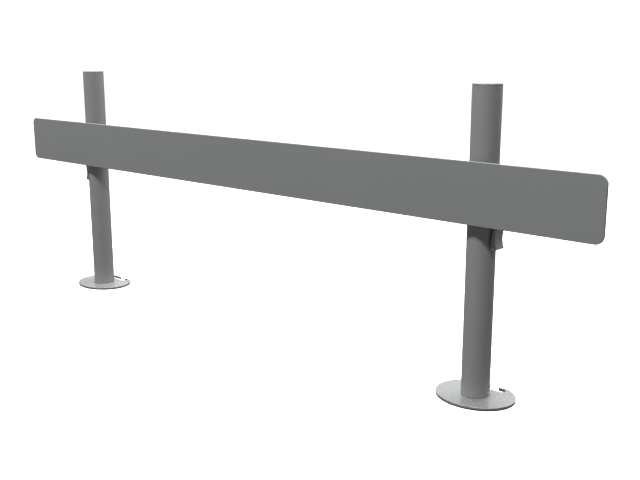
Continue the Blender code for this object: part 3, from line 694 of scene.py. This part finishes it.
def threaded(name, start, end, radius):
    """A screw thread along Z: a fine ring stack whose radius follows a helix."""
    shape = bmesh.new()
    count = max(2, round((end - start) / THREAD_PITCH * THREAD_STEPS))
    rings = [[shape.verts.new((0.0, 0.0, start))]]
    for level in range(count + 1):
        z = start + (end - start) * level / count
        lead = (z - start) / THREAD_PITCH + THREAD_START_SHARE
        taper = min(1.0, (end - z) / THREAD_PITCH, lead)
        ring = []
        for step in range(SMALL_SEGMENTS):
            share = step / SMALL_SEGMENTS
            wave = abs(((z / THREAD_PITCH - share) % 1.0) * 2.0 - 1.0)
            r = radius - THREAD_DEPTH * (1.0 - wave * max(taper, 0.0))
            turn = 2.0 * math.pi * share
            ring.append(shape.verts.new((r * math.cos(turn), r * math.sin(turn), z)))
        rings.append(ring)
    rings.append([shape.verts.new((0.0, 0.0, end))])
    skin_rings(shape, rings, closed=False)
    return link_mesh(name, shape)


def make_base_screw(node, side, zinc):
    """A low-head socket screw that points up. Its shank is hidden, so it is left plain."""
    low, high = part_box(node)
    head = SCREW_HEAD_RADIUS
    thick = SCREW_HEAD_THICKNESS
    neck = SCREW_RADIUS - THREAD_DEPTH
    length = high.z - low.z
    corners = [(0.0, 0.0, 0.0), (head, 0.0, SMALL_EDGE_RADIUS), (head, thick, FINE_EDGE_RADIUS)]
    corners += [(neck, thick, 0.0), (neck, length - THREAD_PITCH, 0.0), (0.0, length, 0.0)]
    screw = turned(node + "_head", filleted(corners, FINE_EDGE_STEPS), SMALL_SEGMENTS, zinc)
    combine(screw, prism("cutter", hexagon(SCREW_SOCKET_ACROSS), -CUT_MARGIN, SCREW_SOCKET_DEPTH))
    place = (middle(node).x, middle(node).y, low.z)
    finish(screw, place, side + "_stand", "zinc_steel", node)


# ---------------------------------------------------------------- carriages
def side_profile(name, corners, half_width, edge, sign):
    """A solid whose outline lies in XZ, with rounded edges, centred on the post's axis in Y."""
    outline = filleted([(sign * x, z, radius) for x, z, radius in corners])
    piece = slab(name, outline, 2.0 * half_width, edge)
    stand_along_y(piece)
    piece.data.transform(Matrix.Translation((0.0, -half_width, 0.0)))
    return piece


def side_cutter(corners, half_width, sign):
    cutter = prism("cutter", [(sign * x, z) for x, z in corners], -half_width, half_width)
    stand_along_y(cutter)
    return cutter


def rod_cutter(radius, length, place, axis):
    profile = [(0.0, 0.0), (radius, 0.0), (radius, length), (0.0, length)]
    cutter = turned("cutter", profile, SMALL_SEGMENTS)
    cutter.data.transform(Vector(axis).to_track_quat("Z", "Y").to_matrix().to_4x4())
    cutter.data.transform(Matrix.Translation(place))
    return cutter


def pin_cutter(pin, reach):
    """A rod along Y for the lever's pin, as long to each side of the middle."""
    return rod_cutter(PIN_HOLE_RADIUS, 2.0 * reach, (pin.x, -reach, pin.z), (0, 1, 0))


def make_carriage(side, sign, paint):
    """The casting that runs on the post: a ring, a flange for the panel and a lever housing."""
    node = "carriage_" + side
    low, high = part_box(node)
    centre = post_axis(side)
    wall = high.y - centre.y
    edge = CASTING_EDGE_RADIUS
    height = high.z - low.z
    corners = [(0.0, 0.0, 0.0), (wall, 0.0, edge), (wall, height, edge), (0.0, height, 0.0)]
    casting = turned("carriage_casting_" + side, filleted(corners), ROUND_SEGMENTS, paint)
    casting.data.transform(Matrix.Translation((0.0, 0.0, low.z)))

    half_length = (high.x - low.x) / 2.0
    corners = rectangle(half_length, FLANGE_HALF_HEIGHT, FLANGE_CORNER_RADIUS)
    outline = filleted(corners, FLANGE_CORNER_STEPS)
    flange = slab("flange", outline, FLANGE_THICKNESS, edge)
    stand_along_y(flange)
    flange.data.transform(Matrix.Translation((0.0, low.y - centre.y, (low.z + high.z) / 2.0)))
    combine(casting, flange, "UNION")

    bend = BRIDGE_CORNER_RADIUS
    corners = [(BORE_RADIUS, CHEEK_TOE_Z, 0.0), (CHEEK_OUTER_X, CHEEK_BOTTOM_Z, bend)]
    corners += [(CHEEK_OUTER_X, BRIDGE_BOTTOM_Z - BRIDGE_STEP_BELOW, 0.0)]
    corners += [(BRIDGE_OUTER_X, BRIDGE_BOTTOM_Z + BRIDGE_STEP_ABOVE, BRIDGE_STEP_RADIUS)]
    corners += [(BRIDGE_OUTER_X, BRIDGE_TOP_Z, bend), (BORE_RADIUS, BRIDGE_TOP_Z, 0.0)]
    combine(casting, side_profile("housing", corners, CHEEK_OUTER_Y, edge, sign), "UNION")

    inner = BORE_RADIUS - CUT_MARGIN
    outer = CHEEK_OUTER_X + CUT_MARGIN
    below = low.z - CUT_MARGIN
    well = [(inner, below), (outer, below), (outer, BRIDGE_BOTTOM_Z)]
    well += [(BRIDGE_INNER_X, BRIDGE_BOTTOM_Z), (BRIDGE_INNER_X, WELL_TOP_Z), (inner, WELL_TOP_Z)]
    combine(casting, side_cutter(well, CHEEK_INNER_Y, sign))

    pin = middle("lever_pin_" + side) - centre
    combine(casting, pin_cutter(pin, CHEEK_OUTER_Y + CUT_MARGIN))
    spring = middle("lever_spring_" + side)
    start = (sign * (BRIDGE_INNER_X - CUT_MARGIN), 0.0, spring.z)
    depth = SPRING_POCKET_DEPTH + CUT_MARGIN
    combine(casting, rod_cutter(SPRING_POCKET_RADIUS, depth, start, (sign, 0, 0)))
    front = low.y - centre.y
    stud_z = (low.z + high.z) / 2.0
    through = FLANGE_THICKNESS + 2.0 * CUT_MARGIN
    head = CUT_MARGIN + STUD_HEAD_THICKNESS + SCREW_CLEARANCE
    for x in (-STUD_OFFSET_X, STUD_OFFSET_X):
        place = (x, front - CUT_MARGIN, stud_z)
        combine(casting, rod_cutter(STUD_HOLE_RADIUS, through, place, (0, 1, 0)))
        combine(casting, rod_cutter(STUD_HEAD_RADIUS + SCREW_CLEARANCE, head, place, (0, 1, 0)))
    above = high.z + CUT_MARGIN
    bore = [(0.0, below), (BORE_RADIUS, below), (BORE_RADIUS, above), (0.0, above)]
    combine(casting, turned("cutter", bore, ROUND_SEGMENTS))
    soften(casting, CASTING_SOFT_WIDTH)
    finish(casting, centre, "rail", "casting_paint", node)


def make_bush(side, level, acetal):
    """A flanged plain bush. The lower one's lip is cut away where the lever passes it."""
    node = f"bush_{level}_{side}"
    low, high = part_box(node)
    centre = post_axis(side)
    lip = (high.y - low.y) / 2.0
    length = high.z - low.z
    outer = BORE_RADIUS - SCREW_CLEARANCE
    inner = outer - BUSH_THICKNESS
    thick = BUSH_LIP_THICKNESS
    edge = SMALL_EDGE_RADIUS
    corners = [(inner, 0.0, edge), (lip, 0.0, edge), (lip, thick, edge), (outer, thick, 0.0)]
    corners += [(outer, length, edge), (inner, length, edge)]
    if level == "upper":
        corners = [(radius, length - z, bend) for radius, z, bend in corners]
    outline = filleted(corners, FINE_EDGE_STEPS)
    bush = turned(f"plain_bush_{level}_{side}", outline, ROUND_SEGMENTS, acetal)
    if level == "lower":
        sign = SIDES[side]
        xs = sorted((sign * (inner - CUT_MARGIN), sign * (lip + CUT_MARGIN)))
        half = CHEEK_INNER_Y + SCREW_CLEARANCE
        gap = [(xs[0], -half), (xs[1], -half), (xs[1], half), (xs[0], half)]
        combine(bush, prism("cutter", gap, -CUT_MARGIN, thick + SCREW_CLEARANCE))
    finish(bush, (centre.x, centre.y, low.z), "rail", "acetal", node)


# ---------------------------------------------------------------- levers
def lever_face_x(z):
    """Outer face of the lever's paddle: hollowed for the thumb, and flared at its lip."""
    rise = z - LEVER_HOLLOW_Z
    flare = LEVER_FLARE_ABOVE if rise > 0.0 else LEVER_FLARE_BELOW
    return LEVER_HOLLOW_X + flare * rise * rise


def lever_inner_radius(z):
    """The paddle's inner face, which curves away from the post above and below its waist."""
    rise = z - LEVER_WAIST_Z
    return LEVER_WAIST_RADIUS + LEVER_INNER_FLARE * rise * rise


def make_thumb_lever(side, sign, nylon):
    node = "thumb_lever_" + side
    low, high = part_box(node)
    centre = post_axis(side)
    pivot = middle("lever_pin_" + side) - centre
    pivot_x = abs(pivot.x)
    stock = LEVER_INNER_RADIUS - LEVER_SIDE_DEPTH
    half_width = (high.y - low.y) / 2.0
    corners = [(stock, LEVER_TIP_Z, 0.0)]
    corners += [(lever_face_x(LEVER_LIP_Z), LEVER_LIP_Z, LEVER_LIP_RADIUS)]
    for step in range(LEVER_LIP_STEPS, LEVER_STEPS + 1):
        z = LEVER_LIP_Z + (LEVER_NECK_Z - LEVER_LIP_Z) * step / LEVER_STEPS
        corners.append((lever_face_x(z), z, 0.0))
    for degrees in LEVER_BOSS_DEGREES:
        turn = math.radians(degrees)
        x = pivot_x + LEVER_BOSS_RADIUS * math.cos(turn)
        corners.append((x, pivot.z + LEVER_BOSS_RADIUS * math.sin(turn), 0.0))
    corners += [(LEVER_ARM_OUTER_X, LEVER_ARM_STEP_Z, LEVER_ARM_RADIUS)]
    corners += [(LEVER_ARM_OUTER_X, high.z, LEVER_ARM_RADIUS), (stock, high.z, 0.0)]
    lever = side_profile("lever_" + side, corners, half_width, LEVER_EDGE_RADIUS, sign)
    coat(lever, nylon)

    wall = [(0.0, low.z - CUT_MARGIN)]
    for step in range(LEVER_STEPS + 1):
        z = low.z - CUT_MARGIN + (LEVER_NECK_Z - low.z + CUT_MARGIN) * step / LEVER_STEPS
        wall.append((lever_inner_radius(z), z))
    wall += [(LEVER_INNER_RADIUS, LEVER_NECK_Z + LEVER_NECK_LENGTH)]
    wall += [(LEVER_INNER_RADIUS, high.z + CUT_MARGIN), (0.0, high.z + CUT_MARGIN)]
    combine(lever, turned("cutter", wall, ROUND_SEGMENTS))
    combine(lever, pin_cutter(pivot, half_width + CUT_MARGIN))
    soften(lever, LEVER_SOFT_WIDTH)
    finish(lever, centre, side + "_lever", "lever_nylon", node)


def make_lever_pin(side, zinc):
    node = "lever_pin_" + side
    low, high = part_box(node)
    radius = (high.z - low.z) / 2.0
    length = high.y - low.y
    edge = radius * PIN_ROUND_SHARE
    corners = [(0.0, 0.0, 0.0), (radius, 0.0, edge), (radius, length, edge), (0.0, length, 0.0)]
    pin = turned("hinge_pin_" + side, filleted(corners, PIN_EDGE_STEPS), SMALL_SEGMENTS, zinc)
    finish_across(pin, node)


def make_lever_spring(side, zinc):
    """A coil along X, closed up flat at each end."""
    node = "lever_spring_" + side
    low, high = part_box(node)
    wire = SPRING_WIRE_RADIUS
    start = wire
    end = high.x - low.x - wire
    curve = bpy.data.curves.new("coil_spring_" + side, "CURVE")
    curve.dimensions = "3D"
    curve.bevel_depth = wire
    curve.bevel_resolution = SPRING_WIRE_STEPS
    curve.use_fill_caps = True
    line = curve.splines.new("POLY")
    line.points.add(SPRING_STEPS * SPRING_TURNS)
    around = SPRING_RADIUS - wire
    open_turns = SPRING_TURNS - 2.0 * SPRING_FLAT_TURNS
    for step, point in enumerate(line.points):
        share = min(max((step / SPRING_STEPS - SPRING_FLAT_TURNS) / open_turns, 0.0), 1.0)
        x = start + (end - start) * share
        turn = 2.0 * math.pi * step / SPRING_STEPS
        point.co = (x, around * math.cos(turn), around * math.sin(turn), 1.0)
    coil = bpy.data.objects.new(curve.name, curve)
    bpy.context.scene.collection.objects.link(coil)
    curve.materials.append(zinc)
    finish(coil, (low.x, middle(node).y, middle(node).z), side + "_lever", "zinc_steel", node)


# ---------------------------------------------------------------- panel fixings
def make_stud(side, number, zinc):
    """A weld stud: a thin head behind the flange's face, and a threaded shank."""
    node = f"panel_stud_{number}_{side}"
    low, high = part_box(node)
    head = STUD_HEAD_RADIUS
    thick = STUD_HEAD_THICKNESS
    neck = STUD_RADIUS - STUD_UNDERCUT
    top = thick + THREAD_PITCH
    corners = [(0.0, 0.0, 0.0), (head, 0.0, FINE_EDGE_RADIUS), (head, thick, SMALL_EDGE_RADIUS)]
    corners += [(neck, thick, 0.0), (neck, top, 0.0), (0.0, top, 0.0)]
    outline = filleted(corners, FINE_EDGE_STEPS)
    stud = turned(f"weld_stud_{number}_{side}", outline, SMALL_SEGMENTS, zinc)
    combine(stud, threaded("thread", thick, high.y - low.y, STUD_RADIUS), "UNION")
    finish_across(stud, node)


def make_washer(side, number, zinc):
    node = f"stud_washer_{number}_{side}"
    low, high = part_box(node)
    outer = (high.x - low.x) / 2.0
    thick = high.y - low.y
    edge = FINE_EDGE_RADIUS
    inner = STUD_HOLE_RADIUS
    corners = [(inner, 0.0, edge), (outer, 0.0, edge), (outer, thick, edge), (inner, thick, edge)]
    outline = filleted(corners, FINE_EDGE_STEPS, EDGE_GUARD / 2.0)
    washer = turned(f"washer_{number}_{side}", outline, SMALL_SEGMENTS, zinc)
    finish_across(washer, node)


def make_nut(side, number, zinc):
    """A hexagon nut whose corners are turned off at both faces."""
    node = f"stud_nut_{number}_{side}"
    low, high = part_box(node)
    thick = high.y - low.y
    radius = (high.x - low.x) / 2.0
    across = 2.0 * radius * math.cos(math.pi / 6.0)
    nut = prism("nut", hexagon(across), -CUT_MARGIN, thick + CUT_MARGIN)
    nut.name = f"hex_nut_{number}_{side}"
    coat(nut, zinc)
    flat = across / 2.0
    wide = radius + NUT_CHAMFER_MARGIN
    drop = (radius - flat) * math.tan(NUT_CHAMFER_ANGLE) * NUT_CHAMFER_GAIN
    envelope = [(0.0, 0.0), (flat, 0.0), (wide, drop), (wide, thick - drop)]
    envelope += [(flat, thick), (0.0, thick)]
    combine(nut, turned("cutter", envelope, SMALL_SEGMENTS), "INTERSECT")
    bore = STUD_HOLE_RADIUS
    mouth = bore + NUT_LEAD_IN + CUT_MARGIN
    above = thick + CUT_MARGIN
    hole = [(0.0, -CUT_MARGIN), (mouth, -CUT_MARGIN), (bore, NUT_LEAD_IN)]
    hole += [(bore, thick - NUT_LEAD_IN), (mouth, above), (0.0, above)]
    combine(nut, turned("cutter", hole, SMALL_SEGMENTS))
    soften(nut, NUT_SOFT_WIDTH)
    finish_across(nut, node)


# ---------------------------------------------------------------- stage
def make_camera():
    data = bpy.data.cameras.new("camera")
    data.lens = CAMERA_LENS_MM
    data.sensor_width = SENSOR_MM
    camera = bpy.data.objects.new("camera", data)
    camera.location = CAMERA_PLACE
    camera.rotation_euler = (math.pi / 2.0 + CAMERA_PITCH, 0.0, CAMERA_TURN)
    bpy.context.scene.collection.objects.link(camera)
    bpy.context.scene.camera = camera


def make_area_light(name, place, target, width, height, power):
    data = bpy.data.lights.new(name, "AREA")
    data.shape = "RECTANGLE"
    data.size = width
    data.size_y = height
    data.energy = power
    light = bpy.data.objects.new(name, data)
    light.location = place
    direction = Vector(target) - Vector(place)
    light.rotation_euler = direction.to_track_quat("-Z", "Y").to_euler()
    bpy.context.scene.collection.objects.link(light)


def make_lights():
    """A long key light high in front, a weak one behind, and one overhead."""
    make_area_light("key", (-0.3, -2.6, 4.4), (-0.3, 0.0, 0.25), width=7.0, height=0.5, power=290)
    make_area_light("back", (1.2, 3.2, 1.7), (0.0, 0.0, 0.2), width=2.4, height=1.2, power=48)
    make_area_light("top", (0.0, 0.5, 3.4), (0.0, 0.0, 0.0), width=1.6, height=1.0, power=135)


def by_ray(nodes, links, shown, mirrored, in_light):
    """Three values: what the camera sees directly, what gloss mirrors, and the light it gives."""
    path = nodes.new("ShaderNodeLightPath")
    soft = nodes.new("ShaderNodeMix")
    soft.data_type = "FLOAT"
    soft.inputs["A"].default_value = in_light
    soft.inputs["B"].default_value = mirrored
    links.new(path.outputs["Is Glossy Ray"], soft.inputs["Factor"])
    direct = nodes.new("ShaderNodeMix")
    direct.data_type = "FLOAT"
    direct.inputs["B"].default_value = shown
    links.new(soft.outputs["Result"], direct.inputs["A"])
    links.new(path.outputs["Is Camera Ray"], direct.inputs["Factor"])
    return direct.outputs["Result"]


def make_floor():
    """A plain pale floor. It gives back less light than it shows, so the posts' feet stay grey."""
    half = FLOOR_HALF_SIZE
    mesh = bpy.data.meshes.new("floor")
    mesh.from_pydata(
        [(-half, -half, 0.0), (half, -half, 0.0), (half, half, 0.0), (-half, half, 0.0)],
        [],
        [(0, 1, 2, 3)],
    )
    floor = bpy.data.objects.new("floor", mesh)
    bpy.context.scene.collection.objects.link(floor)
    material = bpy.data.materials.new("pale_floor")
    material.use_nodes = True
    nodes = material.node_tree.nodes
    links = material.node_tree.links
    grey = nodes.new("ShaderNodeCombineColor")
    value = by_ray(nodes, links, shown=0.88, mirrored=0.10, in_light=0.10)
    for channel in ("Red", "Green", "Blue"):
        links.new(value, grey.inputs[channel])
    glow = nodes.new("ShaderNodeEmission")
    glow.inputs["Color"].default_value = (1.0, 1.0, 1.0, 1.0)
    strength = by_ray(nodes, links, shown=0.95, mirrored=0.05, in_light=0.0)
    links.new(strength, glow.inputs["Strength"])
    both = nodes.new("ShaderNodeAddShader")
    shader = nodes["Principled BSDF"]
    shader.inputs["Roughness"].default_value = 0.9
    shader.inputs["Specular IOR Level"].default_value = 0.0
    links.new(grey.outputs["Color"], shader.inputs["Base Color"])
    links.new(shader.outputs["BSDF"], both.inputs[0])
    links.new(glow.outputs["Emission"], both.inputs[1])
    links.new(both.outputs["Shader"], nodes["Material Output"].inputs["Surface"])
    mesh.materials.append(material)


def make_world():
    world = bpy.data.worlds.new("studio")
    bpy.context.scene.world = world
    world.use_nodes = True
    nodes = world.node_tree.nodes
    links = world.node_tree.links
    background = nodes["Background"]
    background.inputs["Color"].default_value = (1.0, 1.0, 1.0, 1.0)
    strength = by_ray(nodes, links, shown=1.2, mirrored=1.0, in_light=0.02)
    links.new(strength, background.inputs["Strength"])


def repaint_frame(materials):
    """The CAD nodes that stay take their slot's detailed material."""
    for part in frame["record"]["subparts"]:
        node = frame["nodes"][part["node"]]
        node.data.materials.clear()
        node.data.materials.append(materials[part["material_slot"]])


def main():
    make_camera()
    make_world()
    make_lights()
    make_floor()
    materials = make_materials()
    repaint_frame(materials)
    zinc = materials["zinc_steel"]
    make_panel(materials["panel_paint"])
    for side, sign in SIDES.items():
        make_post_tube(side, materials["post_paint"])
        make_post_cap(side, materials["post_paint"])
        make_base_plate(side, materials["plate_paint"])
        make_base_pad(side, materials["pad_rubber"])
        for screw in screw_nodes(side):
            make_base_screw(screw, side, zinc)
        make_carriage(side, sign, materials["casting_paint"])
        make_bush(side, "upper", materials["acetal"])
        make_bush(side, "lower", materials["acetal"])
        make_thumb_lever(side, sign, materials["lever_nylon"])
        make_lever_pin(side, zinc)
        make_lever_spring(side, zinc)
        for number in (1, 2):
            make_stud(side, number, zinc)
            make_washer(side, number, zinc)
            make_nut(side, number, zinc)
    bpy.context.scene.view_settings.view_transform = "Standard"
    bpy.context.view_layer.update()


main()
